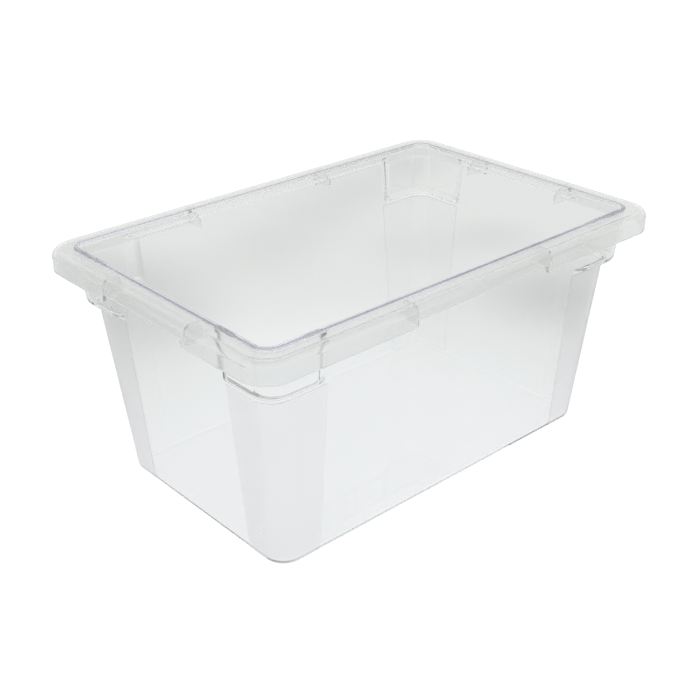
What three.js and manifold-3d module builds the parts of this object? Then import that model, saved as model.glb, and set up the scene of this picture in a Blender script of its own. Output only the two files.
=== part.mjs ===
// Clear deep food storage box for butchers and delicatessens. Its rim measures 18 by 12 inches,
// and it stands 8 5/8 inches high.
//
// The real box is one injection moulding in clear polycarbonate. It is modelled here as its
// named regions: the floor, four walls, four corner columns, four stacking pockets, the
// turned-down rim in eight lengths and the eight stiffening ribs inside the rim. Each region
// is one closed solid, and a narrow gap parts it from its neighbours.
//
// Millimetres, +Z up. The origin is the centre of the underside. X runs along the length and
// Y across the width, with the front at -Y.

import * as THREE from 'three';
import { mergeVertices } from 'three/addons/utils/BufferGeometryUtils.js';
import Module from 'manifold-3d';

// Driving dimensions.
const LENGTH = 457.2;
const WIDTH = 304.8;
const HEIGHT = 219.1;
const WALL = 3.2;
const GAP = 0.3;

// The tub: its sides lean outwards all the way up, by DRAFT for each millimetre of height.
const DRAFT = 0.085;
const TUB_TOP = 210.6;
const TUB_TOP_INSET = 23.4;
const TUB_CORNER = 19.5;
const BASE_BEND = 10;

// The rim: a flat flange with a skirt turned down from its outer edge. The skirt is shallower
// along the middle stretch of each side.
const RIM_CORNER = 25;
const RIM_EDGE = 7;
const RIM_THICK = 3;
const FLANGE_TOP = 217.5;
const SKIRT_BOTTOM = 197.9;
const SKIRT_STEP = 6;
const STEP_X = 76.2;
const STEP_Y = 54;

// The lid seat: a narrow shelf round the mouth, with an upright lip round the shelf.
const LIP_THICK = 3.4;
const LIP_INSET = 16.8;
const LIP_CORNER = 14.4;
const SEAT_TOP = 213.6;

// The stacking pockets: the top of each corner stands out and leaves a ledge inside.
const LEDGE_TOP = 171;
const POCKET_INSET = 20;
const POCKET_CORNER = 18.5;
const POCKET_END_X = 153;
const POCKET_END_Y = 73;
const POCKET_EDGE = 5;

// Where the corner columns meet the walls.
const COLUMN_X = 145.5;
const COLUMN_Y = 69.5;

// The ribs inside the rim.
const RIB_THICK = 2.4;
const RIB_BOTTOM = 200.5;

// Sides of the polygons that stand for a quarter circle.
const CORNER_STEPS = 8;
const BEND_STEPS = 5;
const EDGE_STEPS = 4;

// A length well outside the box, for blocks that reach past it.
const FAR = 400;

// How far a cutting shape runs past the face it cuts.
const OVERRUN = 1;

const LEAN = Math.atan(DRAFT);

const wasm = await Module();
wasm.setup();

// Turns a closed three.js geometry into a solid that can be joined and cut.
function solidOf(geometry) {
  geometry.deleteAttribute('normal');
  geometry.deleteAttribute('uv');
  const merged = mergeVertices(geometry);
  return new wasm.Manifold(new wasm.Mesh({
    numProp: 3,
    vertProperties: merged.attributes.position.array,
    triVerts: new Uint32Array(merged.index.array),
  }));
}

// Turns a solid back into a three.js geometry.
function geometryOf(solid) {
  const mesh = solid.getMesh();
  const geometry = new THREE.BufferGeometry();
  geometry.setAttribute('position', new THREE.BufferAttribute(mesh.vertProperties, 3));
  geometry.setIndex(new THREE.BufferAttribute(mesh.triVerts, 1));
  geometry.computeVertexNormals();
  return geometry;
}

// The points of a rectangle with round corners, set in from the rim's outer edge.
function outline(inset, radius) {
  const quarterCentres = [[1, 1], [-1, 1], [-1, -1], [1, -1]];
  const points = [];
  quarterCentres.forEach(([sideX, sideY], quarter) => {
    const centreX = sideX * (LENGTH / 2 - inset - radius);
    const centreY = sideY * (WIDTH / 2 - inset - radius);
    for (let step = 0; step <= CORNER_STEPS; step += 1) {
      const angle = (quarter + step / CORNER_STEPS) * Math.PI / 2;
      points.push(new THREE.Vector2(
        centreX + radius * Math.cos(angle),
        centreY + radius * Math.sin(angle),
      ));
    }
  });
  return points;
}

// A closed solid through a stack of outlines, listed from the lowest to the highest.
function loft(sections) {
  const rings = sections.map(({ z, inset, radius }) => outline(inset, radius)
    .map((point) => new THREE.Vector3(point.x, point.y, z)));
  const count = rings[0].length;
  const vertices = rings.flat();
  const lowCentre = vertices.push(new THREE.Vector3(0, 0, sections[0].z)) - 1;
  const highCentre = vertices.push(new THREE.Vector3(0, 0, sections.at(-1).z)) - 1;
  const faces = [];
  for (let ring = 0; ring < rings.length - 1; ring += 1) {
    for (let corner = 0; corner < count; corner += 1) {
      const next = (corner + 1) % count;
      const a = ring * count + corner;
      const b = ring * count + next;
      faces.push(a, b, b + count, a, b + count, a + count);
    }
  }
  const top = (rings.length - 1) * count;
  for (let corner = 0; corner < count; corner += 1) {
    const next = (corner + 1) % count;
    faces.push(lowCentre, next, corner);
    faces.push(highCentre, top + corner, top + next);
  }
  const geometry = new THREE.BufferGeometry().setFromPoints(vertices);
  geometry.setIndex(faces);
  return solidOf(geometry);
}

// An upright prism: one outline between two heights.
function prism(inset, radius, low, high) {
  return loft([{ z: low, inset, radius }, { z: high, inset, radius }]);
}

// A block between two opposite corners.
function block(low, high) {
  const size = high.map((value, axis) => value - low[axis]);
  const geometry = new THREE.BoxGeometry(...size);
  geometry.translate(...high.map((value, axis) => (value + low[axis]) / 2));
  return solidOf(geometry);
}

// The four corners as sign pairs, with the names of the sides that meet there.
const CORNERS = [
  { name: 'front_left', sideX: -1, sideY: -1 },
  { name: 'front_right', sideX: 1, sideY: -1 },
  { name: 'back_right', sideX: 1, sideY: 1 },
  { name: 'back_left', sideX: -1, sideY: 1 },
];

// A block over one corner, beyond startX and startY from the middle of the box.
function cornerBlock({ sideX, sideY }, startX, startY, low, high) {
  const x = [sideX * startX, sideX * FAR].sort((a, b) => a - b);
  const y = [sideY * startY, sideY * FAR].sort((a, b) => a - b);
  return block([x[0], y[0], low], [x[1], y[1], high]);
}

function allCorners(startX, startY, low, high) {
  return CORNERS.map((corner) => cornerBlock(corner, startX, startY, low, high))
    .reduce((joined, piece) => joined.add(piece));
}

// How far the tub's outer face stands in from the rim's outer edge at a height.
function tubInset(z) {
  return TUB_TOP_INSET + (TUB_TOP - z) * DRAFT;
}

// The outline at which the flat floor ends and the bend into the walls starts.
const FLOOR_INSET = tubInset(BASE_BEND) + BASE_BEND / Math.cos(LEAN);
const FLOOR_CORNER = TUB_CORNER - BASE_BEND;

// The tub's outside or, set in by the wall, its inside, with a round bend into the floor.
function tubBody(offset, top) {
  const bend = BASE_BEND - offset;
  const sections = [];
  for (let step = 0; step <= BEND_STEPS; step += 1) {
    const angle = -Math.PI / 2 + (step / BEND_STEPS) * (Math.PI / 2 - LEAN);
    sections.push({
      z: BASE_BEND + bend * Math.sin(angle),
      inset: FLOOR_INSET - bend * Math.cos(angle),
      radius: FLOOR_CORNER + bend * Math.cos(angle),
    });
  }
  const topInset = tubInset(top) + offset / Math.cos(LEAN);
  sections.push({ z: top, inset: topInset, radius: TUB_CORNER - offset });
  return loft(sections);
}

// The pockets' outside: upright round corners with a rounded lower edge.
function pocketBody() {
  const bottom = LEDGE_TOP - WALL;
  const sections = [];
  for (let step = 0; step <= EDGE_STEPS; step += 1) {
    const angle = (step / EDGE_STEPS) * Math.PI / 2;
    sections.push({
      z: bottom + POCKET_EDGE * (1 - Math.cos(angle)),
      inset: POCKET_INSET + POCKET_EDGE * (1 - Math.sin(angle)),
      radius: POCKET_CORNER - POCKET_EDGE * (1 - Math.sin(angle)),
    });
  }
  sections.push({ z: FLANGE_TOP, inset: LIP_INSET, radius: LIP_CORNER });
  return loft(sections).intersect(allCorners(POCKET_END_X, POCKET_END_Y, bottom - OVERRUN, FAR));
}

// The space inside the pockets, above their ledges.
function pocketSpace() {
  const sections = [
    { z: LEDGE_TOP, inset: POCKET_INSET + WALL, radius: POCKET_CORNER - WALL },
    { z: HEIGHT, inset: LIP_INSET + LIP_THICK, radius: LIP_CORNER - LIP_THICK },
    { z: HEIGHT + WALL, inset: LIP_INSET + LIP_THICK, radius: LIP_CORNER - LIP_THICK },
  ];
  const corners = allCorners(POCKET_END_X + WALL, POCKET_END_Y + WALL, LEDGE_TOP - WALL, FAR);
  return loft(sections).intersect(corners);
}

// The rim's outside, with its top edge rounded.
function rimBody() {
  const sections = [{ z: SKIRT_BOTTOM, inset: 0, radius: RIM_CORNER }];
  for (let step = 0; step <= EDGE_STEPS; step += 1) {
    const angle = (step / EDGE_STEPS) * Math.PI / 2;
    const inset = RIM_EDGE * (1 - Math.cos(angle));
    sections.push({
      z: FLANGE_TOP - RIM_EDGE * (1 - Math.sin(angle)),
      inset,
      radius: RIM_CORNER - inset,
    });
  }
  return loft(sections);
}

// The hollow under the flange, with its upper edge rounded to match the outside.
function rimHollow() {
  const bend = RIM_EDGE - RIM_THICK;
  const sections = [{ z: SKIRT_BOTTOM - OVERRUN, inset: RIM_THICK, radius: RIM_CORNER - RIM_THICK }];
  for (let step = 0; step <= EDGE_STEPS; step += 1) {
    const angle = (step / EDGE_STEPS) * Math.PI / 2;
    const inset = RIM_THICK + bend * (1 - Math.cos(angle));
    sections.push({
      z: FLANGE_TOP - RIM_THICK - bend * (1 - Math.sin(angle)),
      inset,
      radius: RIM_CORNER - inset,
    });
  }
  return loft(sections);
}

// The whole mouth: flange, skirt, lip and lid seat.
function rimSolid(cavity, pockets) {
  const lipLow = TUB_TOP + GAP / 2;
  const lip = prism(LIP_INSET, LIP_CORNER, lipLow, HEIGHT);
  const lipSpace = prism(LIP_INSET + LIP_THICK, LIP_CORNER - LIP_THICK, SEAT_TOP, FAR);
  const middleX = block([-STEP_X, -FAR, 0], [STEP_X, FAR, SKIRT_BOTTOM + SKIRT_STEP]);
  const middleY = block([-FAR, -STEP_Y, 0], [FAR, STEP_Y, SKIRT_BOTTOM + SKIRT_STEP]);
  return rimBody().subtract(rimHollow()).subtract(middleX).subtract(middleY)
    .add(lip)
    .subtract(lipSpace)
    .subtract(cavity)
    .subtract(pockets);
}

// The rib's cross-section, drawn as distance in from the rim's outer edge against height.
function ribShape() {
  const skirtFace = RIM_THICK + GAP;
  const flangeFace = FLANGE_TOP - RIM_THICK - GAP;
  const bend = RIM_EDGE - RIM_THICK;
  const seatFace = TUB_TOP - GAP / 2;
  const shape = new THREE.Shape();
  shape.moveTo(skirtFace, RIB_BOTTOM);
  shape.lineTo(tubInset(RIB_BOTTOM) - GAP, RIB_BOTTOM);
  shape.lineTo(tubInset(seatFace) - GAP, seatFace);
  shape.lineTo(LIP_INSET - GAP, seatFace);
  shape.lineTo(LIP_INSET - GAP, flangeFace);
  shape.lineTo(skirtFace + bend, flangeFace);
  shape.quadraticCurveTo(skirtFace, flangeFace, skirtFace, flangeFace - bend);
  shape.closePath();
  return shape;
}

// One rib, standing across the rim's hollow on the side whose outward direction is given.
function rib(outward, halfSize, along) {
  const geometry = new THREE.ExtrudeGeometry(ribShape(), {
    depth: RIB_THICK,
    bevelEnabled: false,
    curveSegments: EDGE_STEPS,
  });
  geometry.translate(-halfSize, 0, -RIB_THICK / 2);
  geometry.rotateX(Math.PI / 2);
  geometry.rotateZ(Math.PI + outward);
  const direction = new THREE.Vector2(Math.cos(outward), Math.sin(outward));
  geometry.translate(-direction.y * along, direction.x * along, 0);
  return solidOf(geometry);
}

const clear = { color: 0xdfe7ea, roughness: 0.08, metalness: 0 };
const frosted = { color: 0xd3dae6, roughness: 0.45, metalness: 0 };
const box = new THREE.Group();

function addNode(name, solid, finish = clear) {
  const mesh = new THREE.Mesh(geometryOf(solid), new THREE.MeshStandardMaterial(finish));
  mesh.name = name;
  box.add(mesh);
}

// The two long sides and the two short sides, as the middle stretch of each.
const SIDES = [
  { name: 'front', outward: -Math.PI / 2 },
  { name: 'right', outward: 0 },
  { name: 'back', outward: Math.PI / 2 },
  { name: 'left', outward: Math.PI },
];

// A block over the middle stretch of one side, from the middle of the box outwards.
function sideBlock({ outward }, halfX, halfY) {
  const directionX = Math.round(Math.cos(outward));
  const directionY = Math.round(Math.sin(outward));
  if (directionX === 0) {
    const y = [0, directionY * FAR].sort((a, b) => a - b);
    return block([-halfX, y[0], -FAR], [halfX, y[1], FAR]);
  }
  const x = [0, directionX * FAR].sort((a, b) => a - b);
  return block([x[0], -halfY, -FAR], [x[1], halfY, FAR]);
}

const cavity = tubBody(WALL, HEIGHT + WALL);
const pocketCavity = pocketSpace();
const tub = tubBody(0, TUB_TOP - GAP / 2)
  .add(pocketBody().intersect(block([-FAR, -FAR, 0], [FAR, FAR, TUB_TOP - GAP / 2])))
  .subtract(cavity)
  .subtract(pocketCavity);
const rim = rimSolid(cavity, pocketCavity);

addNode('floor_panel', prism(FLOOR_INSET + GAP / 2, FLOOR_CORNER, 0, WALL));
const floorHole = prism(FLOOR_INSET - GAP / 2, FLOOR_CORNER, -OVERRUN, WALL + OVERRUN);
const walls = tub.subtract(floorHole);

SIDES.forEach((side) => {
  const stretch = sideBlock(side, COLUMN_X - GAP / 2, COLUMN_Y - GAP / 2);
  addNode(`wall_${side.name}`, walls.intersect(stretch));
});

CORNERS.forEach((corner) => {
  const split = LEDGE_TOP - WALL;
  const startX = COLUMN_X + GAP / 2;
  const startY = COLUMN_Y + GAP / 2;
  const column = cornerBlock(corner, startX, startY, -OVERRUN, split - GAP);
  const pocket = cornerBlock(corner, startX, startY, split, FAR);
  addNode(`corner_column_${corner.name}`, walls.intersect(column), frosted);
  addNode(`stacking_pocket_${corner.name}`, walls.intersect(pocket));
});

SIDES.forEach((side) => {
  const stretch = sideBlock(side, STEP_X - GAP / 2, STEP_Y - GAP / 2);
  addNode(`rim_${side.name}`, rim.intersect(stretch));
});

CORNERS.forEach((corner) => {
  const region = cornerBlock(corner, STEP_X + GAP / 2, STEP_Y + GAP / 2, -OVERRUN, FAR);
  addNode(`rim_corner_${corner.name}`, rim.intersect(region));
});

SIDES.forEach((side) => {
  const acrossWidth = Math.round(Math.cos(side.outward)) === 0;
  const halfSize = acrossWidth ? WIDTH / 2 : LENGTH / 2;
  const distance = (acrossWidth ? STEP_X : STEP_Y) + RIB_THICK;
  ['first', 'second'].forEach((order, index) => {
    const along = index === 0 ? -distance : distance;
    addNode(`rim_rib_${side.name}_${order}`, rib(side.outward, halfSize, along));
  });
});

export default box;
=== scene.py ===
import math

import bmesh
import bpy
import numpy as np
from mathutils import Matrix, Vector


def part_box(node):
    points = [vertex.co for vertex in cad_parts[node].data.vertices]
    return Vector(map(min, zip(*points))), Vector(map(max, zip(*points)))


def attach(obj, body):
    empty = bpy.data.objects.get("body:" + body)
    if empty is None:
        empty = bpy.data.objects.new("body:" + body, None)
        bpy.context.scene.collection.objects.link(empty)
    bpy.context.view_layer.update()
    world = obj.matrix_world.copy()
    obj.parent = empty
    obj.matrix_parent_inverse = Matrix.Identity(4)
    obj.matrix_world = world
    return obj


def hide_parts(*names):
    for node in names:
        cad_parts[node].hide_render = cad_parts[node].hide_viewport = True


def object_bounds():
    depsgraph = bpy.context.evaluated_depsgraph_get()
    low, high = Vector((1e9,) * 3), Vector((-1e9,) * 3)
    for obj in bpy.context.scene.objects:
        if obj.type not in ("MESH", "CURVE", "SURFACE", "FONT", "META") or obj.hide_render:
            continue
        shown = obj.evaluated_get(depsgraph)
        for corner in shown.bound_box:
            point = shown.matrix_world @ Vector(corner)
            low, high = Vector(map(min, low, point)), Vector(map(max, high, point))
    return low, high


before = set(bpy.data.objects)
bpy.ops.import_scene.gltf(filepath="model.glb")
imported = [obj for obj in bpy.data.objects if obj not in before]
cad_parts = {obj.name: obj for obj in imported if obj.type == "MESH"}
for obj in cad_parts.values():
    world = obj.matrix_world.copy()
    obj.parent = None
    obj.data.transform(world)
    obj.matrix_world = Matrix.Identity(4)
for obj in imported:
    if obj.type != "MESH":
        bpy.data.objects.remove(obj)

CAD_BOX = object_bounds()

bl_info = {
    "name": "Clear Food Storage Box",
    "version": (1, 0, 0),
    "blender": (4, 5, 0),
    "location": "3D View > Sidebar > Storage Box",
    "description": "Builds a moulded clear polycarbonate storage box over its packed frame",
    "category": "Add Mesh",
}

MM = 0.001
# Sides and corners go round anticlockwise, seen from above. Side 0 runs from corner 0 to corner 1.
SIDES = ("front", "right", "back", "left")
CORNERS = ("front_left", "front_right", "back_right", "back_left")
CLEAR = "Clear polycarbonate"
TEXTURED = "Textured polycarbonate"


# ---------------------------------------------------------------------------
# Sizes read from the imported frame
# ---------------------------------------------------------------------------

def low(node):
    """The lowest corner of a CAD node."""
    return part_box(node)[0]


def high(node):
    """The highest corner of a CAD node."""
    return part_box(node)[1]


HALF_X = CAD_BOX[1].x
HALF_Y = CAD_BOX[1].y
HEIGHT = CAD_BOX[1].z
FLOOR_TOP = high("floor_panel").z
SKIRT_LOW = low("rim_corner_front_left").z
SKIRT_HIGH = low("rim_front").z
POCKET_LOW = low("stacking_pocket_front_left").z
COLUMN_X = -high("corner_column_front_left").x
COLUMN_Y = -high("corner_column_front_left").y
RIB_LOW = low("rim_rib_front_first").z


# ---------------------------------------------------------------------------
# Settings
# ---------------------------------------------------------------------------

def length_prop(name, description, default):
    """A length in metres with a name and a description."""
    return bpy.props.FloatProperty(
        name=name, description=description, default=default, min=0.0, unit="LENGTH", precision=5,
    )


def tint_prop(name, description, default):
    """A colour with a name and a description."""
    return bpy.props.FloatVectorProperty(
        name=name, description=description, default=default, size=3, min=0.0, max=1.0,
        subtype="COLOR",
    )


class StorageBoxShellSettings(bpy.types.PropertyGroup):
    """Sizes of the tub and its rim."""

    wall: length_prop("Wall", "Thickness of the tub's walls and floor", 3.2 * MM)
    draft: bpy.props.FloatProperty(
        name="Draft", description="How far the walls lean out for each unit of height",
        default=0.085, min=0.0,
    )
    tub_top: length_prop("Tub top", "Height where the tub's outer face meets the seat", 210.6 * MM)
    tub_inset: length_prop("Tub inset", "From the rim's edge in to the tub at its top", 23.4 * MM)
    tub_corner: length_prop("Tub corner", "Plan radius of the tub's corners, outside", 19.5 * MM)
    base_bend: length_prop("Base bend", "Radius of the bend from floor to wall", 10.0 * MM)
    rim_corner: length_prop("Rim corner", "Plan radius of the rim's corners", 25.0 * MM)
    rim_edge: length_prop("Rim edge", "Radius of the rim's upper edge", 7.0 * MM)
    rim_thick: length_prop("Rim thickness", "Thickness of the flange and its skirt", 3.0 * MM)
    flange_top: length_prop("Flange top", "Height of the flange", 217.5 * MM)
    lip_inset: length_prop("Lip inset", "From the rim's edge in to the lip", 16.8 * MM)
    lip_thick: length_prop("Lip thickness", "Thickness of the upright lip", 3.4 * MM)
    lip_corner: length_prop("Lip corner", "Plan radius of the lip, outside", 14.4 * MM)
    seat_top: length_prop("Seat top", "Height of the lid seat inside the lip", 213.6 * MM)
    step_at_x: length_prop("Long step", "Where the skirt steps up on long sides", 76.2 * MM)
    step_at_y: length_prop("Short step", "Where the skirt steps up on short sides", 54.0 * MM)
    pocket_inset: length_prop("Pocket inset", "From the rim's edge to a pocket's foot", 20.0 * MM)
    pocket_corner: length_prop("Pocket corner", "Plan radius of a pocket's foot", 18.5 * MM)
    pocket_edge: length_prop("Pocket edge", "Radius under the pockets", 5.0 * MM)
    corner_steps: bpy.props.IntProperty(
        name="Corner steps", description="Faces round each corner", default=22, min=4
    )


class StorageBoxRibSettings(bpy.types.PropertyGroup):
    """Sizes of the ribs inside the rim."""

    clearance: length_prop("Clearance", "Space round a rib inside the rim", 0.05 * MM)


class StorageBoxGrainSettings(bpy.types.PropertyGroup):
    """Sizes of the textured panels on the corner columns."""

    thickness: length_prop("Thickness", "How far the grain stands off the wall", 0.35 * MM)
    clearance: length_prop("Clearance", "Space between the grain and the wall", 0.05 * MM)
    edge: length_prop("Edge", "Width of the panels' soft edges", 1.5 * MM)


class StorageBoxFinishSettings(bpy.types.PropertyGroup):
    """Colours of the two finishes. Each is what is left in light that crosses the surface, except
    the lip's edge and face colours, which are painted shade.
    """

    clear_tint: tint_prop("Clear tint", "Colour of the clear wall", (0.935, 0.942, 0.935))
    grain_tint: tint_prop("Grain tint", "Colour of the textured panels", (1.0, 0.992, 1.0))
    lip_tint: tint_prop("Lip tint", "Colour of the lip's body", (0.86, 0.84, 0.96))
    # Painted shade: the two colours below darken the lip's top edge and outer face into dark
    # lines.
    lip_edge_painted_shade: tint_prop("Lip edge painted shade", "Colour along the lip's top", (0.50, 0.49, 0.57))
    lip_face_painted_shade: tint_prop("Lip face painted shade", "Colour of the lip's outer face", (0.36, 0.34, 0.48))


class StorageBoxStageSettings(bpy.types.PropertyGroup):
    """The camera, and the white surround that lights the stage."""

    camera_place: bpy.props.FloatVectorProperty(
        name="Camera place", description="Where the camera stands",
        default=(-0.649539, -0.720233, 0.597878), size=3, unit="LENGTH", subtype="TRANSLATION",
    )
    camera_heading: bpy.props.FloatProperty(
        name="Camera heading", description="Turn from the front of the box",
        default=math.radians(41.509), subtype="ANGLE",
    )
    camera_tilt: bpy.props.FloatProperty(
        name="Camera tilt", description="Tilt below the horizon",
        default=math.radians(27.436), subtype="ANGLE",
    )
    camera_roll: bpy.props.FloatProperty(
        name="Camera roll", description="Roll about the line of sight",
        default=math.radians(0.621), subtype="ANGLE",
    )
    camera_lens: bpy.props.FloatProperty(
        name="Camera lens", description="Focal length in millimetres", default=60.50, min=1.0,
        unit="CAMERA",
    )
    sky_strength: bpy.props.FloatProperty(
        name="Surround", description="Brightness of the studio's white surround", default=1.0,
        min=0.0,
    )


# ---------------------------------------------------------------------------
# Shader maths as Python expressions
# ---------------------------------------------------------------------------

class Value:
    """A socket that can be used in sums, and adds the Math nodes for them."""

    def __init__(self, graph, socket):
        self.graph = graph
        self.socket = socket

    def math(self, operation, *inputs):
        """The result of a Math node."""
        return self.graph.node("ShaderNodeMath", {"operation": operation}, dict(enumerate(inputs)))

    def __add__(self, other):
        return self.math("ADD", self, other)

    __radd__ = __add__

    def __sub__(self, other):
        return self.math("SUBTRACT", self, other)

    def __rsub__(self, other):
        return self.math("SUBTRACT", other, self)

    def __mul__(self, other):
        return self.math("MULTIPLY", self, other)

    __rmul__ = __mul__

    def __truediv__(self, other):
        return self.math("DIVIDE", self, other)

    def __rtruediv__(self, other):
        return self.math("DIVIDE", other, self)

    def __pow__(self, other):
        return self.math("POWER", self, other)

    def __abs__(self):
        return self.math("ABSOLUTE", self)

    def between(self, start, end):
        """0 below start, 1 above end, smooth between."""
        return self.graph.node(
            "ShaderNodeMapRange", {"interpolation_type": "SMOOTHSTEP"},
            {"Value": self, "From Min": start, "From Max": end},
        )


class Graph:
    """The node tree of one material."""

    def __init__(self, name):
        self.material = bpy.data.materials.new(name)
        self.material.use_nodes = True
        self.tree = self.material.node_tree
        self.tree.nodes.clear()

    def node(self, kind, settings=None, inputs=None, output=0):
        """Adds a node, sets it and links or fills its sockets, and gives one of its outputs."""
        made = self.tree.nodes.new(kind)
        for key, value in (settings or {}).items():
            setattr(made, key, value)
        for key, value in (inputs or {}).items():
            if isinstance(value, Value):
                self.tree.links.new(value.socket, made.inputs[key])
            else:
                made.inputs[key].default_value = value
        return Value(self, made.outputs[output]) if len(made.outputs) else None

    def place(self, scale=(1, 1, 1)):
        """Object coordinates, stretched by scale."""
        place = self.node("ShaderNodeTexCoord", output="Object")
        return self.node("ShaderNodeMapping", None, {"Vector": place, "Scale": scale})

    def axes(self):
        """Object coordinates as three values."""
        place = self.node("ShaderNodeTexCoord", output="Object")
        split = self.node("ShaderNodeSeparateXYZ", None, {"Vector": place})
        return [Value(self, output) for output in split.socket.node.outputs]

    def past_outline(self, x, y, inset, radius):
        """How far a point lies outside the rim's outline, set in by inset, with round corners."""
        over_x = abs(x) - (HALF_X - inset - radius)
        over_y = abs(y) - (HALF_Y - inset - radius)
        out_x = over_x.math("MAXIMUM", over_x, 0.0)
        out_y = over_y.math("MAXIMUM", over_y, 0.0)
        nearest = over_x.math("MAXIMUM", over_x, over_y)
        inside = nearest.math("MINIMUM", nearest, 0.0)
        return (out_x * out_x + out_y * out_y) ** 0.5 + inside - radius

    def noise(self, vector, scale, detail=2.0, roughness=0.5):
        """Soft random values about 0.5."""
        return self.node(
            "ShaderNodeTexNoise", {"noise_dimensions": "3D"},
            {"Vector": vector, "Scale": scale, "Detail": detail, "Roughness": roughness},
        )

    def bump(self, height, distance, strength, normal=None):
        """A normal bent by a height, on top of another normal where one is given."""
        inputs = {"Height": height, "Distance": distance, "Strength": strength}
        if normal is not None:
            inputs["Normal"] = normal
        return self.node("ShaderNodeBump", None, inputs)

    def mix(self, factor, first, second):
        """A colour between two colours."""
        return self.node(
            "ShaderNodeMix", {"data_type": "RGBA"}, {"Factor": factor, 6: first, 7: second},
            output=2,
        )

    def dimmed(self, colour, share):
        """A colour times a value."""
        return self.node(
            "ShaderNodeVectorMath", {"operation": "SCALE"}, {"Vector": colour, "Scale": share},
        )

    def finish(self, shader):
        """Ends the tree with a shader, and gives its material."""
        self.node("ShaderNodeOutputMaterial", None, {"Surface": shader})
        return self.material


def principled(graph, **inputs):
    """The one shader of a material, with its sockets named in words joined by underscores."""
    named = {key.replace("_", " ").replace("Ior", "IOR"): value for key, value in inputs.items()}
    return graph.node("ShaderNodeBsdfPrincipled", None, named)


def opaque(colour):
    """A colour with full alpha."""
    return (*colour, 1.0)


# ---------------------------------------------------------------------------
# Materials
# ---------------------------------------------------------------------------

PLASTIC_IOR = 1.585
SKIN_IOR = 1.12  # low, so that a thin skin doesn't mirror the wall it lies on
POLISH, SCRATCH_HAZE, RIM_HAZE, UNDERSIDE_HAZE = 0.03, 0.03, 0.10, 0.10
GRAIN_HAZE, GRAIN_HAZE_SPREAD = 0.25, 0.10
FLOW_STRETCH, FLOW_DEPTH, FLOW_STRENGTH = (3, 3, 22), 1.6 * MM, 0.12
SCRATCH_STRETCH, SCRATCH_DEPTH, SCRATCH_STRENGTH = (40, 40, 900), 0.03 * MM, 0.25
SCRATCH_SHARE = (0.60, 0.74)
GRAIN_SCALE, GRAIN_DEPTH, GRAIN_STRENGTH = 1400.0, 0.06 * MM, 0.35
CLOUD_SCALE = 60.0

# Where each part of the clear finish fades in: distances outside the lip's face, and heights.
OUTSIDE_LIP = (-0.2 * MM, 0.8 * MM)
LIP_FACE = (-0.6 * MM, -0.3 * MM)
LIP_OUTER_HALF = (-2.4 * MM, -1.6 * MM)
ABOVE_FLANGE = (0.1 * MM, 0.4 * MM)
LIP_TOP = (HEIGHT - 0.6 * MM, HEIGHT - 0.4 * MM)
SKIRT = (SKIRT_LOW - 2 * MM, SKIRT_LOW - MM)
ABOVE_UNDERSIDE = (0.2 * MM, 0.6 * MM)


def clear_polycarbonate(finish, sizes):
    """Clear moulded plastic: flow lines, fine scratches, a hazier rim, and a tinted lip with
    painted shade along its top and outer face.
    """
    graph = Graph(CLEAR)
    x, y, z = graph.axes()
    flow = graph.noise(graph.place(FLOW_STRETCH), 1.0)
    scratches = graph.noise(graph.place(SCRATCH_STRETCH), 1.0, 3.0).between(*SCRATCH_SHARE)
    from_lip = graph.past_outline(x, y, sizes.lip_inset, sizes.lip_corner)
    rim = from_lip.between(*OUTSIDE_LIP) * z.between(*SKIRT)
    underside = 1.0 - z.between(*ABOVE_UNDERSIDE)
    rough = POLISH + SCRATCH_HAZE * scratches + RIM_HAZE * rim + UNDERSIDE_HAZE * underside
    lip = z.between(*[sizes.flange_top + above for above in ABOVE_FLANGE])
    # Painted shade: the inner half of the lip's top and the lip's outer face are darkened.
    lip_edge = z.between(*LIP_TOP) * (1.0 - from_lip.between(*LIP_OUTER_HALF))
    lip_face = lip * from_lip.between(*LIP_FACE)
    shaded = graph.mix(lip, opaque(finish.clear_tint), opaque(finish.lip_tint))
    shaded = graph.mix(lip_edge, shaded, opaque(finish.lip_edge_painted_shade))
    shaded = graph.mix(lip_face, shaded, opaque(finish.lip_face_painted_shade))
    ripple = graph.bump(flow, FLOW_DEPTH, FLOW_STRENGTH)
    normal = graph.bump(scratches, SCRATCH_DEPTH, SCRATCH_STRENGTH, ripple)
    return graph.finish(principled(
        graph, Base_Color=shaded, Roughness=rough, Ior=PLASTIC_IOR, Transmission_Weight=1.0,
        Normal=normal,
    ))


def textured_polycarbonate(finish):
    """The same plastic with a fine moulded grain that blurs what is behind it."""
    graph = Graph(TEXTURED)
    grain = graph.noise(graph.place(), GRAIN_SCALE, roughness=0.6)
    cloud = graph.noise(graph.place(), CLOUD_SCALE, 3.0)
    rough = GRAIN_HAZE + GRAIN_HAZE_SPREAD * cloud
    return graph.finish(principled(
        graph, Base_Color=opaque(finish.grain_tint), Roughness=rough, Ior=SKIN_IOR,
        Transmission_Weight=1.0, Normal=graph.bump(grain, GRAIN_DEPTH, GRAIN_STRENGTH),
    ))


# ---------------------------------------------------------------------------
# The wall's profile
# ---------------------------------------------------------------------------

NEARLY_STRAIGHT = math.radians(86)  # half of the angle at a corner
ROOM = 0.49  # the share of the way to the next corner that a rounding may take

# Roundings of the profile's corners, as radius and faces.
SHARP = (0, 0)
LIP_INNER_EDGE = (1.2 * MM, 4)
LIP_OUTER_EDGE = (1.0 * MM, 4)
LIP_FOOT = (0.5 * MM, 2)
SEAT_EDGE = (0.8 * MM, 3)
SKIRT_EDGE = (0.8 * MM, 3)
LEDGE_EDGE = (2.0 * MM, 4)
LEDGE_FOOT = (2.5 * MM, 4)
LEDGE_PLAIN = (0.8 * MM, 4)
UNDER_FLANGE = (1.0 * MM, 3)
POCKET_SEAT = (0.5 * MM, 3)
WALL_TOP_PLAIN = (3.0 * MM, 8)
WALL_PLAIN = (2.0 * MM, 4)

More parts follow.
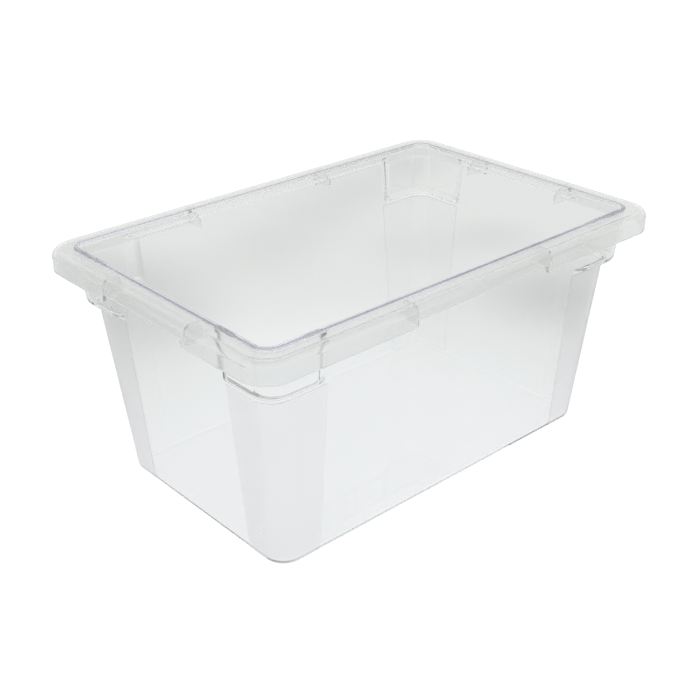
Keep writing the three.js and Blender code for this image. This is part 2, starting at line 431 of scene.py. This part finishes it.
# Faces in the wider bends.
BASE_INNER_FACES, BASE_OUTER_FACES = 8, 10
RIM_OUTER_FACES, RIM_INNER_FACES = 10, 6
POCKET_FACES = 8

WALL_ROWS = (60 * MM, 115 * MM)  # heights of plain rows that keep the wall's faces short
FLOOR_MARGIN, UNDERSIDE_MARGIN = 8 * MM, 11 * MM  # flat strips inside the bends
ABOVE_SEAT, BELOW_SEAT = 0.8 * MM, 1.2 * MM
SEAT_OUTSIDE = (0.5 * MM, -1.5 * MM)  # a pocket's two rows beside the tub's top


def rounded(points):
    """Rounds a profile's corners.

    Each point is (inset, height, plan radius, rounding, faces). A corner that is nearly straight
    keeps its count of points, spread over a short length, so two profiles have matching rows.
    """
    rows = []
    for index, (inset, height, plan, rounding, faces) in enumerate(points):
        if not faces:
            rows.append((inset, height, plan))
            continue
        here = np.array((inset, height))
        before = np.array(points[index - 1][:2])
        after = np.array(points[index + 1][:2])
        back, ahead = before - here, after - here
        room = ROOM * min(np.linalg.norm(back), np.linalg.norm(ahead))
        back_dir = back / np.linalg.norm(back)
        ahead_dir = ahead / np.linalg.norm(ahead)
        half = math.acos(np.clip(back_dir @ ahead_dir, -1, 1)) / 2
        straight = half > NEARLY_STRAIGHT
        reach = rounding if straight else min(rounding / math.tan(half), room)
        radius = reach * math.tan(half)
        start, end = here + back_dir * reach, here + ahead_dir * reach
        plan_start = plan + (points[index - 1][2] - plan) * reach / np.linalg.norm(back)
        plan_end = plan + (points[index + 1][2] - plan) * reach / np.linalg.norm(ahead)
        middle = back_dir + ahead_dir
        for step in range(faces + 1):
            t = step / faces
            if straight:
                place = start + (end - start) * t
            else:
                centre = here + middle / np.linalg.norm(middle) * radius / math.sin(half)
                turn = math.pi - 2 * half
                a = math.sin((1 - t) * turn) / math.sin(turn)
                b = math.sin(t * turn) / math.sin(turn)
                place = centre + (start - centre) * a + (end - centre) * b
            spread = (1 - t) ** 2 * plan_start + 2 * t * (1 - t) * plan + t ** 2 * plan_end
            rows.append((place[0], place[1], spread))
    return np.array(rows)


class Profile:
    """The wall's section, as rows of inset, height and plan radius, plain or through a pocket."""

    def __init__(self, sizes):
        self.sizes = sizes
        self.across = sizes.wall / math.cos(math.atan(sizes.draft))
        self.inner = self.inside()
        self.rim = self.mouth()
        self.outer = self.outside()

    def tub(self, height):
        """The tub's outer inset at a height."""
        return self.sizes.tub_inset + (self.sizes.tub_top - height) * self.sizes.draft

    def pocket(self, height):
        """The pocket's outer inset at a height."""
        s = self.sizes
        share = (height - POCKET_LOW) / (s.flange_top - POCKET_LOW)
        return s.pocket_inset + (s.lip_inset - s.pocket_inset) * share

    def pocket_plan(self, height):
        """The plan radius of the pocket's corner at a height."""
        s = self.sizes
        share = (height - POCKET_LOW) / (s.flange_top - POCKET_LOW)
        return s.pocket_corner + (s.lip_corner - s.pocket_corner) * share

    def inside(self):
        """From the floor to the top of the lip, plain and through a pocket."""
        s = self.sizes
        plan = s.tub_corner - s.wall
        ledge = POCKET_LOW + s.wall
        foot = self.tub(FLOOR_TOP) + self.across
        lip = s.lip_inset + s.lip_thick
        lip_plan = s.lip_corner - s.lip_thick

        def wall(height, rounding):
            return self.tub(height) + self.across, height, plan, *rounding

        start = [
            (foot + FLOOR_MARGIN, FLOOR_TOP, plan - FLOOR_MARGIN, *SHARP),
            (foot, FLOOR_TOP, plan, s.base_bend - s.wall, BASE_INNER_FACES),
            *[wall(height, SHARP) for height in WALL_ROWS],
        ]
        end = [
            (lip, HEIGHT, lip_plan, *LIP_INNER_EDGE),
            (s.lip_inset, HEIGHT, s.lip_corner, *SHARP),
        ]
        plain = [
            wall(ledge - MM, LEDGE_PLAIN),
            wall(ledge + MM, LEDGE_PLAIN),
            wall(s.seat_top, SEAT_EDGE),
            (lip, s.seat_top, lip_plan, *SEAT_EDGE),
        ]
        face = self.pocket(ledge) + s.wall
        face_plan = self.pocket_plan(ledge) - s.wall

        def up(height):
            share = (height - ledge) / (HEIGHT - ledge)
            return face + (lip - face) * share, height, face_plan + (lip_plan - face_plan) * share

        pocket = [
            wall(ledge, LEDGE_EDGE),
            (face, ledge, face_plan, *LEDGE_FOOT),
            (*up(s.seat_top - BELOW_SEAT), *SEAT_EDGE),
            (*up(s.seat_top + ABOVE_SEAT), *SEAT_EDGE),
        ]
        return [rounded(start + part + end)[:-1] for part in (plain, pocket)]

    def mouth(self):
        """Over the lip, out along the flange, down the skirt and back up inside it."""
        s = self.sizes
        lip = s.lip_inset + s.lip_thick
        under = s.flange_top - s.rim_thick
        inner_corner = s.rim_corner - s.rim_thick
        rows = []
        for bottom in (SKIRT_LOW, SKIRT_HIGH):
            points = [
                (lip, HEIGHT, s.lip_corner - s.lip_thick, *SHARP),
                (s.lip_inset, HEIGHT, s.lip_corner, *LIP_OUTER_EDGE),
                (s.lip_inset, s.flange_top, s.lip_corner, *LIP_FOOT),
                (0.0, s.flange_top, s.rim_corner, s.rim_edge, RIM_OUTER_FACES),
                (0.0, bottom, s.rim_corner, *SKIRT_EDGE),
                (s.rim_thick, bottom, inner_corner, *SKIRT_EDGE),
                (s.rim_thick, under, inner_corner, s.rim_edge - s.rim_thick, RIM_INNER_FACES),
                (s.lip_inset, under, s.lip_corner, *SHARP),
            ]
            rows.append(rounded(points)[1:-1])
        return rows

    def outside(self):
        """From under the flange down to the underside, plain and through a pocket."""
        s = self.sizes
        under = s.flange_top - s.rim_thick

        def wall(height, rounding):
            return self.tub(height), height, s.tub_corner, *rounding

        def down(height, rounding):
            return self.pocket(height), height, self.pocket_plan(height), *rounding

        inner_corner = s.tub_corner - UNDERSIDE_MARGIN
        start = [(s.rim_edge, under, s.rim_corner - s.rim_edge, *SHARP)]
        end = [
            *[wall(height, SHARP) for height in reversed(WALL_ROWS)],
            wall(0.0, (s.base_bend, BASE_OUTER_FACES)),
            (self.tub(0.0) + UNDERSIDE_MARGIN, 0.0, inner_corner, *SHARP),
        ]
        plain = [
            (s.lip_inset, under, s.lip_corner, *UNDER_FLANGE),
            (s.lip_inset, s.tub_top, s.lip_corner, *UNDER_FLANGE),
            wall(s.tub_top, UNDER_FLANGE),
            wall(POCKET_LOW + 6 * MM, WALL_TOP_PLAIN),
            wall(POCKET_LOW, WALL_PLAIN),
        ]
        above_top, below_top = SEAT_OUTSIDE
        pocket = [
            down(under, UNDER_FLANGE),
            down(s.tub_top + above_top, POCKET_SEAT),
            down(s.tub_top + below_top, SEAT_EDGE),
            down(POCKET_LOW, (s.pocket_edge, POCKET_FACES)),
            wall(POCKET_LOW, LEDGE_FOOT),
        ]
        return [rounded(start + part + end)[1:] for part in (plain, pocket)]


# ---------------------------------------------------------------------------
# Stations round the box
# ---------------------------------------------------------------------------

# Where the pockets begin and end their turn out of the wall, along a long and a short side,
# inside and outside the wall.
POCKET_TURNS = {
    True: ((151.5 * MM, 159.5 * MM), (148.0 * MM, 157.5 * MM)),
    False: ((72.0 * MM, 80.5 * MM), (68.5 * MM, 78.5 * MM)),
}
EASE = 2.4 * MM
EASE_SHARES = (-1.0, -0.67, -0.33, 0.0, 0.33, 0.67, 1.0)
STEP_OFFSETS = (-8.0, -1.6, -1.0, -0.5, 0.0, 0.5, 1.0, 1.6, 12.0)  # in millimetres
STEP_HALF, STEP_EASE = 0.6 * MM, 0.5 * MM
PLAIN_SHARES = (0.0, 0.3, 0.6)


def ramp(value, start, end, ease):
    """0 before start, 1 after end and straight between, with both bends eased."""
    def softened(t):
        if t <= -ease:
            return 0.0
        if t >= ease:
            return t
        return (t + ease) ** 2 / (4 * ease)
    return (softened(value - start) - softened(value - end)) / (end - start)


def stations_along(half, step, turns):
    """Distances from the middle of a side at which the section is drawn."""
    places = {half * share for share in PLAIN_SHARES}
    places |= {step + offset * MM for offset in STEP_OFFSETS}
    places |= {bend + EASE * share for turn in turns for bend in turn for share in EASE_SHARES}
    return sorted(round(place, 6) for place in places)


def is_long(side):
    """Whether a side is one of the two long ones."""
    return side % 2 == 0


class Station:
    """One place round the box: on a straight side, or at an angle round a corner."""

    def __init__(self, side, along=None, turn=None):
        self.side = side
        self.along = along
        self.turn = turn


def walk_round(sizes):
    """Every station, anticlockwise from above, starting on the front side's left end."""
    walk = []
    quarter = math.pi / 2
    for side in range(len(SIDES)):
        half = HALF_X if is_long(side) else HALF_Y
        step = sizes.step_at_x if is_long(side) else sizes.step_at_y
        places = stations_along(half, step, POCKET_TURNS[is_long(side)])
        row = [-place for place in reversed(places) if place > 0] + places
        walk += [Station(side, along=place) for place in row]
        for count in range(sizes.corner_steps + 1):
            walk.append(Station(side, turn=quarter * count / sizes.corner_steps))
    return walk


def place_at(station, rows):
    """The points of a station's section: rows of inset, height and plan radius."""
    inset, height, plan = rows.T
    half_along, half_out = (HALF_X, HALF_Y) if is_long(station.side) else (HALF_Y, HALF_X)
    if station.turn is None:
        along = np.full(len(rows), station.along)
        out = half_out - inset
    else:
        along = half_along - inset - plan + plan * math.sin(station.turn)
        out = half_out - inset - plan + plan * math.cos(station.turn)
    turn = station.side * math.pi / 2
    cos, sin = round(math.cos(turn)), round(math.sin(turn))
    x, y = along, -out
    return np.column_stack((x * cos - y * sin, x * sin + y * cos, height))


def section(profile, station):
    """The section's rows at a station: pockets blended in at their ends, the skirt stepped."""
    if station.turn is not None:
        inner = outer = 1.0
        raised = 0.0
    else:
        long_side = is_long(station.side)
        place = abs(station.along)
        inner, outer = [ramp(place, *turn, EASE) for turn in POCKET_TURNS[long_side]]
        step = profile.sizes.step_at_x if long_side else profile.sizes.step_at_y
        raised = 1 - ramp(place, step - STEP_HALF, step + STEP_HALF, STEP_EASE)
    inside = profile.inner[0] * (1 - inner) + profile.inner[1] * inner
    mouth = profile.rim[0] * (1 - raised) + profile.rim[1] * raised
    outside = profile.outer[0] * (1 - outer) + profile.outer[1] * outer
    return inside, mouth, outside


# ---------------------------------------------------------------------------
# Meshes
# ---------------------------------------------------------------------------

WELD = 1e-6
FACE_AREA_WEIGHT = 100


def point_outwards(mesh, weld=False):
    """Turns a closed mesh's faces outwards, after its doubles are merged where asked."""
    made = bmesh.new()
    made.from_mesh(mesh)
    if weld:
        bmesh.ops.remove_doubles(made, verts=made.verts, dist=WELD)
    bmesh.ops.recalc_face_normals(made, faces=made.faces)
    made.to_mesh(mesh)
    made.free()


def new_object(name, vertices, faces, material, smooth=True):
    """A mesh object at the origin, its faces pointing outwards."""
    mesh = bpy.data.meshes.new(name)
    mesh.from_pydata([tuple(point) for point in vertices], [], faces)
    point_outwards(mesh, weld=True)
    mesh.materials.append(material)
    obj = bpy.data.objects.new(name, mesh)
    bpy.context.scene.collection.objects.link(obj)
    if smooth:
        mesh.shade_smooth()
    return obj


def apply_modifier(obj, modifier):
    """Keeps a modifier's result as the object's plain mesh, and removes the modifier."""
    graph = bpy.context.evaluated_depsgraph_get()
    mesh = bpy.data.meshes.new_from_object(obj.evaluated_get(graph), depsgraph=graph)
    obj.modifiers.remove(modifier)
    old, obj.data = obj.data, mesh
    bpy.data.meshes.remove(old)
    mesh.name = obj.name


def settle_normals(obj):
    """Weights the corner normals by face area, so flats shade flat and roundings smooth."""
    modifier = obj.modifiers.new("Weighted normals", "WEIGHTED_NORMAL")
    modifier.keep_sharp = True
    modifier.weight = FACE_AREA_WEIGHT
    apply_modifier(obj, modifier)


def grid_faces(rings, rows):
    """Quads between neighbouring sections, closed round the box."""
    faces = []
    for ring in range(rings):
        following = (ring + 1) % rings
        for row in range(rows - 1):
            faces.append((
                ring * rows + row, following * rows + row,
                following * rows + row + 1, ring * rows + row + 1,
            ))
    return faces


def build_shell(sizes, material):
    """The tub, pockets, seat, lip, flange and skirt as one closed moulding."""
    profile = Profile(sizes)
    walk = walk_round(sizes)
    columns = [place_at(station, np.vstack(section(profile, station))) for station in walk]
    rows = len(columns[0])
    vertices = np.vstack(columns)
    faces = grid_faces(len(walk), rows)
    faces.append([ring * rows for ring in range(len(walk))])
    faces.append([ring * rows + rows - 1 for ring in reversed(range(len(walk)))])
    shell = new_object("box_shell", vertices, faces, material)
    settle_normals(shell)
    return shell


GRAIN_BOTTOM = 1.2 * MM
BELOW_POCKET = 2.6 * MM
EDGE_SHARES = (0.0, 0.25, 0.5, 1.0)  # places across a panel's soft edge
EDGE_WEIGHTS = (0.0, 0.45, 0.75, 1.0)  # and the share of its thickness there


def grain_rows(profile, grain):
    """The section rows that a textured panel covers, closer together at its top edge."""
    sizes = profile.sizes
    top = POCKET_LOW - BELOW_POCKET
    near_top = [top - grain.edge * share for share in EDGE_SHARES]
    rows = profile.outer[1]
    rest = rows[(rows[:, 1] < near_top[-1] - WELD) & (rows[:, 1] > GRAIN_BOTTOM)]
    top_rows = [(profile.tub(height), height, sizes.tub_corner) for height in near_top]
    return np.vstack((top_rows, rest))


def grain_stations(sizes, grain, corner):
    """The stations that a textured panel covers, each with its share of the thickness."""
    before, after = (corner - 1) % len(SIDES), corner
    first, second = (COLUMN_X, COLUMN_Y) if is_long(before) else (COLUMN_Y, COLUMN_X)
    soft = [(grain.edge * share, weight) for share, weight in zip(EDGE_SHARES, EDGE_WEIGHTS)]
    stations = [(Station(before, along=first + inset), weight) for inset, weight in soft]
    stations += [
        (Station(before, turn=math.pi / 2 * step / sizes.corner_steps), 1.0)
        for step in range(sizes.corner_steps + 1)
    ]
    stations += [
        (Station(after, along=-(second + inset)), weight) for inset, weight in reversed(soft)
    ]
    return stations


def build_grain(sizes, grain, corner, material):
    """One textured panel: a thin layer wrapped round a column, with soft edges."""
    rows = grain_rows(Profile(sizes), grain)
    slope = np.gradient(rows[:, :2], axis=0)
    slope /= np.linalg.norm(slope, axis=1)[:, None]
    outward = np.column_stack((slope[:, 1], -slope[:, 0]))
    soft = list(EDGE_WEIGHTS[:-1])
    row_weights = np.array(soft + [1.0] * (len(rows) - 2 * len(soft)) + soft[::-1])
    stations = grain_stations(sizes, grain, corner)
    skins = []
    for lift in (grain.clearance, grain.thickness):
        for station, weight in stations:
            amount = grain.clearance + (lift - grain.clearance) * weight * row_weights
            moved = rows.copy()
            moved[:, :2] += outward * amount[:, None]
            moved[:, 2] += rows[:, 0] - moved[:, 0]
            skins.append(place_at(station, moved))
    count, height = len(stations), len(rows)
    faces = []
    for layer in (0, 1):
        for station in range(count - 1):
            for row in range(height - 1):
                a = (layer * count + station) * height + row
                faces.append((a, a + height, a + height + 1, a + 1))
    panel = new_object(f"grain_panel_{CORNERS[corner]}", np.vstack(skins), faces, material)
    settle_normals(panel)
    return panel


# ---------------------------------------------------------------------------
# Ribs, by geometry nodes
# ---------------------------------------------------------------------------

RIB_BEND_FACES = 6
RIB_ORDERS = ("first", "second")
RIB_COUNT = len(SIDES) * len(RIB_ORDERS)


def rib_outline(sizes, ribs):
    """The rib's section: distance in from the rim's edge against height, with cut corners."""
    gap, cut = ribs.clearance, MM
    skirt = sizes.rim_thick + gap
    flange = sizes.flange_top - sizes.rim_thick - gap
    bend = sizes.rim_edge - sizes.rim_thick
    seat = sizes.tub_top - gap
    lip = sizes.lip_inset

    def wall(height):
        return sizes.tub_inset + (sizes.tub_top - height) * sizes.draft - gap

    points = [(skirt, RIB_LOW), (wall(RIB_LOW), RIB_LOW), (wall(seat - cut), seat - cut)]
    points += [(wall(seat) - cut, seat), (lip + cut, seat), (lip - gap, seat + cut)]
    points += [(lip - gap, flange - cut), (lip - cut, flange)]
    for step in range(RIB_BEND_FACES + 1):
        angle = math.pi / 2 * step / RIB_BEND_FACES
        inset = skirt + bend * (1 - math.sin(angle))
        points.append((inset, flange - bend * (1 - math.cos(angle))))
    return points


def rib_tree(material):
    """A tree that extrudes the outline and stands a copy at each of the eight places."""
    tree = bpy.data.node_groups.new("Rim ribs", "GeometryNodeTree")
    face = tree.interface
    face.new_socket("Geometry", in_out="INPUT", socket_type="NodeSocketGeometry")
    for name in ("Thickness", "Half length", "Half width", "Along length", "Along width"):
        socket = face.new_socket(name, in_out="INPUT", socket_type="NodeSocketFloat")
        socket.subtype = "DISTANCE"
    face.new_socket("Geometry", in_out="OUTPUT", socket_type="NodeSocketGeometry")

    def add(kind, settings=None, inputs=None):
        node = tree.nodes.new(kind)
        for key, value in (settings or {}).items():
            setattr(node, key, value)
        for key, value in (inputs or {}).items():
            if isinstance(value, bpy.types.NodeSocket):
                tree.links.new(value, node.inputs[key])
            else:
                node.inputs[key].default_value = value
        return node

    def sums(operation, *values):
        return add("ShaderNodeMath", {"operation": operation}, dict(enumerate(values))).outputs[0]

    def vector(**parts):
        return add("ShaderNodeCombineXYZ", None, parts).outputs[0]

    given = add("NodeGroupInput").outputs
    extrude = add(
        "GeometryNodeExtrudeMesh", {"mode": "FACES"},
        {
            "Mesh": given["Geometry"], "Offset": (0.0, 1.0, 0.0),
            "Offset Scale": given["Thickness"], "Individual": False,
        },
    )
    flipped = add("GeometryNodeFlipFaces", None, {"Mesh": given["Geometry"]})
    closed = add("GeometryNodeJoinGeometry")
    tree.links.new(flipped.outputs["Mesh"], closed.inputs[0])
    tree.links.new(extrude.outputs["Mesh"], closed.inputs[0])
    welded = add(
        "GeometryNodeMergeByDistance", None, {"Geometry": closed.outputs[0], "Distance": WELD},
    )
    centred = add("GeometryNodeTransform", None, {
        "Geometry": welded.outputs[0],
        "Translation": vector(Y=sums("MULTIPLY", given["Thickness"], -0.5)),
    })

    # Eight points: index 0 and 1 on the front, 2 and 3 on the right, and so on round.
    index = add("GeometryNodeInputIndex").outputs[0]
    side = sums("FLOOR", sums("DIVIDE", index, 2.0))
    sign = sums("MULTIPLY_ADD", sums("MODULO", index, 2.0), 2.0, -1.0)
    short = sums("MODULO", side, 2.0)
    angle = sums("MULTIPLY", side, math.pi / 2)

    def choose(long_value, short_value):
        inputs = {0: short, 2: long_value, 3: short_value}
        return add("ShaderNodeMix", {"data_type": "FLOAT"}, inputs).outputs[0]

    out = choose(given["Half width"], given["Half length"])
    along = choose(given["Along length"], given["Along width"])
    flat = vector(X=sums("MULTIPLY", along, sign), Y=sums("MULTIPLY", out, -1.0))
    place = add(
        "ShaderNodeVectorRotate", {"rotation_type": "Z_AXIS"}, {"Vector": flat, "Angle": angle},
    ).outputs[0]
    points = add("GeometryNodePoints", None, {"Count": RIB_COUNT, "Position": place})
    rotation = vector(Z=sums("ADD", angle, math.pi / 2))
    copies = add(
        "GeometryNodeInstanceOnPoints", None,
        {"Points": points.outputs[0], "Instance": centred.outputs[0], "Rotation": rotation},
    )
    real = add("GeometryNodeRealizeInstances", None, {"Geometry": copies.outputs[0]})
    painted = add(
        "GeometryNodeSetMaterial", None, {"Geometry": real.outputs[0], "Material": material},
    )
    add("NodeGroupOutput", None, {"Geometry": painted.outputs[0]})
    return tree


def build_ribs(sizes, ribs, material):
    """The eight ribs, as one plain mesh."""
    outline = rib_outline(sizes, ribs)
    mesh = bpy.data.meshes.new("rim_ribs")
    corners = [(inset, 0.0, height) for inset, height in outline]
    mesh.from_pydata(corners, [], [list(range(len(outline)))])
    obj = bpy.data.objects.new("rim_ribs", mesh)
    bpy.context.scene.collection.objects.link(obj)
    tree = rib_tree(material)
    modifier = obj.modifiers.new("Ribs", "NODES")
    modifier.node_group = tree
    front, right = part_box("rim_rib_front_second"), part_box("rim_rib_right_second")
    values = {
        "Thickness": front[1].x - front[0].x,
        "Half length": HALF_X,
        "Half width": HALF_Y,
        "Along length": (front[0].x + front[1].x) / 2,
        "Along width": (right[0].y + right[1].y) / 2,
    }
    for item in tree.interface.items_tree:
        if item.item_type == "SOCKET" and item.name in values:
            modifier[item.identifier] = values[item.name]
    apply_modifier(obj, modifier)
    point_outwards(obj.data)
    return obj


# ---------------------------------------------------------------------------
# Operators
# ---------------------------------------------------------------------------

def clear_material(scene):
    """The clear finish, made once."""
    return bpy.data.materials.get(CLEAR) or clear_polycarbonate(
        scene.storage_box_finish, scene.storage_box_shell,
    )


def declare(piece, nodes):
    """Hides the CAD nodes that a piece stands for, and hangs the piece on the body it rides on."""
    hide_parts(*nodes)
    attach(piece, "root")


class STORAGEBOX_OT_shell(bpy.types.Operator):
    """Build the tub with its pockets and its rim, as one moulding"""

    bl_idname = "storage_box.shell"
    bl_label = "Build Shell"

    def execute(self, context):
        scene = context.scene
        shell = build_shell(scene.storage_box_shell, clear_material(scene))
        nodes = ["floor_panel"]
        nodes += [f"wall_{side}" for side in SIDES]
        nodes += [f"rim_{side}" for side in SIDES]
        nodes += [f"stacking_pocket_{corner}" for corner in CORNERS]
        nodes += [f"rim_corner_{corner}" for corner in CORNERS]
        declare(shell, nodes)
        return {"FINISHED"}


class STORAGEBOX_OT_ribs(bpy.types.Operator):
    """Build the eight ribs that brace the rim"""

    bl_idname = "storage_box.ribs"
    bl_label = "Build Ribs"

    def execute(self, context):
        scene = context.scene
        ribs = build_ribs(scene.storage_box_shell, scene.storage_box_ribs, clear_material(scene))
        nodes = [f"rim_rib_{side}_{order}" for side in SIDES for order in RIB_ORDERS]
        declare(ribs, nodes)
        return {"FINISHED"}


class STORAGEBOX_OT_grain(bpy.types.Operator):
    """Build the textured panels on the corner columns"""

    bl_idname = "storage_box.grain"
    bl_label = "Build Grain Panels"

    def execute(self, context):
        scene = context.scene
        sizes, grain = scene.storage_box_shell, scene.storage_box_grain
        textured = textured_polycarbonate(scene.storage_box_finish)
        for corner, name in enumerate(CORNERS):
            panel = build_grain(sizes, grain, corner, textured)
            declare(panel, [f"corner_column_{name}"])
        return {"FINISHED"}


class STORAGEBOX_OT_stage(bpy.types.Operator):
    """Build the floor, the white surround that lights the box, and the camera"""

    bl_idname = "storage_box.stage"
    bl_label = "Build Stage"

    def execute(self, context):
        scene = context.scene
        settings = scene.storage_box_stage
        build_camera(scene, settings)
        build_surround(scene, settings)
        return {"FINISHED"}


SENSOR_MM = 36.0
NEAREST_SEEN = 0.01
CLEAR_BOUNCES, TRANSPARENT_BOUNCES, DIFFUSE_BOUNCES = 96, 16, 3


def build_camera(scene, settings):
    """A camera at its place, turned by its heading, tilt and roll."""
    data = bpy.data.cameras.new("Camera")
    data.lens = settings.camera_lens
    data.sensor_width = SENSOR_MM
    data.clip_start = NEAREST_SEEN
    camera = bpy.data.objects.new("Camera", data)
    scene.collection.objects.link(camera)
    heading, tilt, roll = settings.camera_heading, settings.camera_tilt, settings.camera_roll
    level = math.cos(tilt)
    ahead = Vector((math.sin(heading) * level, math.cos(heading) * level, -math.sin(tilt)))
    right = Vector((math.cos(heading), -math.sin(heading), 0))
    up = right.cross(ahead)
    turned_right = right * math.cos(-roll) + up * math.sin(-roll)
    turned_up = -right * math.sin(-roll) + up * math.cos(-roll)
    camera.matrix_world = Matrix.Translation(settings.camera_place) @ Matrix(
        (turned_right, turned_up, -ahead)
    ).transposed().to_4x4()
    scene.camera = camera


FLOOR_HALF = 30.0
FLOOR_LEVEL = -0.5 * MM
FLOOR_BRIGHTNESS = 1.05
FLOOR_DIMMING, DIMMED_FROM_TO = 0.16, (0.10, 0.38)
NEAR_LIGHT, FAR_LIGHT = (0.965, 0.972, 1.0, 1.0), (0.985, 1.0, 0.992, 1.0)
WHITE = (1.0, 1.0, 1.0, 1.0)
SPOT_REACH = 1.6
SHADE_SPOTS = (  # x, y, size and depth
    (0.21, 0.43, 0.080, 0.07),
    (0.31, 0.47, 0.080, 0.07),
    (0.41, 0.51, 0.080, 0.08),
    (0.51, 0.54, 0.080, 0.08),
    (0.62, 0.57, 0.070, 0.12),
    (0.48, 0.26, 0.060, 0.09),
    (0.38, 0.31, 0.070, 0.06),
    (0.40, 0.08, 0.090, 0.25),
    (-0.02, 0.46, 0.130, 0.26),
    (-0.02, 0.33, 0.080, 0.10),
    (0.00, 0.60, 0.070, 0.12),
)


def pale_floor():
    """Luminous white to the eye. Through the plastic it shows the studio's uneven light."""
    graph = Graph("Pale floor")
    x, y, _ = graph.axes()
    far = ((x * x + y * y) ** 0.5).between(*DIMMED_FROM_TO)
    light = 1.0 - FLOOR_DIMMING * far
    for place_x, place_y, size, depth in SHADE_SPOTS:
        off_x, off_y = x - place_x, y - place_y
        away = ((off_x * off_x + off_y * off_y) ** 0.5) / size
        light = light * (1.0 - depth * (1.0 - away.between(0.0, SPOT_REACH)))
    colour = graph.dimmed(graph.mix(far, NEAR_LIGHT, FAR_LIGHT), light)
    lit = graph.node("ShaderNodeEmission", None, {"Color": colour})
    plain = graph.node("ShaderNodeEmission", None, {"Color": WHITE, "Strength": FLOOR_BRIGHTNESS})
    seen = graph.node("ShaderNodeLightPath", output="Is Camera Ray")
    return graph.finish(graph.node("ShaderNodeMixShader", None, {0: seen, 1: lit, 2: plain}))


def build_surround(scene, settings):
    """A white surround, a pale floor, and enough bounces for light to cross many walls."""
    world = bpy.data.worlds.new("Studio")
    world.use_nodes = True
    scene.world = world
    background = world.node_tree.nodes["Background"]
    background.inputs["Color"].default_value = WHITE
    background.inputs["Strength"].default_value = settings.sky_strength
    corners = [(x * FLOOR_HALF, y * FLOOR_HALF, FLOOR_LEVEL)
               for x, y in ((-1, -1), (1, -1), (1, 1), (-1, 1))]
    floor = new_object("Floor", corners, [(0, 1, 2, 3)], pale_floor(), smooth=False)
    scene.view_settings.view_transform = "Standard"
    scene.view_settings.look = "None"
    scene.cycles.max_bounces = CLEAR_BOUNCES
    scene.cycles.transmission_bounces = CLEAR_BOUNCES
    scene.cycles.glossy_bounces = CLEAR_BOUNCES
    scene.cycles.transparent_max_bounces = TRANSPARENT_BOUNCES
    scene.cycles.diffuse_bounces = DIFFUSE_BOUNCES


class STORAGEBOX_PT_panel(bpy.types.Panel):
    """The box's operators and sizes in the sidebar"""

    bl_idname = "STORAGEBOX_PT_panel"
    bl_label = "Storage Box"
    bl_space_type = "VIEW_3D"
    bl_region_type = "UI"
    bl_category = "Storage Box"

    def draw(self, context):
        """Each operator over its own sizes, and the finishes last."""
        layout = self.layout
        scene = context.scene
        for operator, settings in (
            (STORAGEBOX_OT_shell, scene.storage_box_shell),
            (STORAGEBOX_OT_ribs, scene.storage_box_ribs),
            (STORAGEBOX_OT_grain, scene.storage_box_grain),
            (STORAGEBOX_OT_stage, scene.storage_box_stage),
        ):
            box = layout.box()
            box.operator(operator.bl_idname)
            for name in settings.__annotations__:
                box.prop(settings, name)
        box = layout.box()
        box.label(text="Finishes")
        for name in scene.storage_box_finish.__annotations__:
            box.prop(scene.storage_box_finish, name)


SETTINGS = {
    "storage_box_shell": StorageBoxShellSettings,
    "storage_box_ribs": StorageBoxRibSettings,
    "storage_box_grain": StorageBoxGrainSettings,
    "storage_box_finish": StorageBoxFinishSettings,
    "storage_box_stage": StorageBoxStageSettings,
}
OPERATORS = (STORAGEBOX_OT_shell, STORAGEBOX_OT_ribs, STORAGEBOX_OT_grain, STORAGEBOX_OT_stage)


def register():
    """Adds the settings, the operators and the panel."""
    for name, group in SETTINGS.items():
        bpy.utils.register_class(group)
        setattr(bpy.types.Scene, name, bpy.props.PointerProperty(type=group))
    for operator in OPERATORS:
        bpy.utils.register_class(operator)
    bpy.utils.register_class(STORAGEBOX_PT_panel)


def unregister():
    """Removes the panel, the operators and the settings."""
    bpy.utils.unregister_class(STORAGEBOX_PT_panel)
    for operator in reversed(OPERATORS):
        bpy.utils.unregister_class(operator)
    for name, group in reversed(SETTINGS.items()):
        delattr(bpy.types.Scene, name)
        bpy.utils.unregister_class(group)


def main():
    """Builds the stage and every piece."""
    register()
    bpy.ops.storage_box.stage()
    bpy.ops.storage_box.shell()
    bpy.ops.storage_box.ribs()
    bpy.ops.storage_box.grain()


if __name__ == "__main__":
    main()
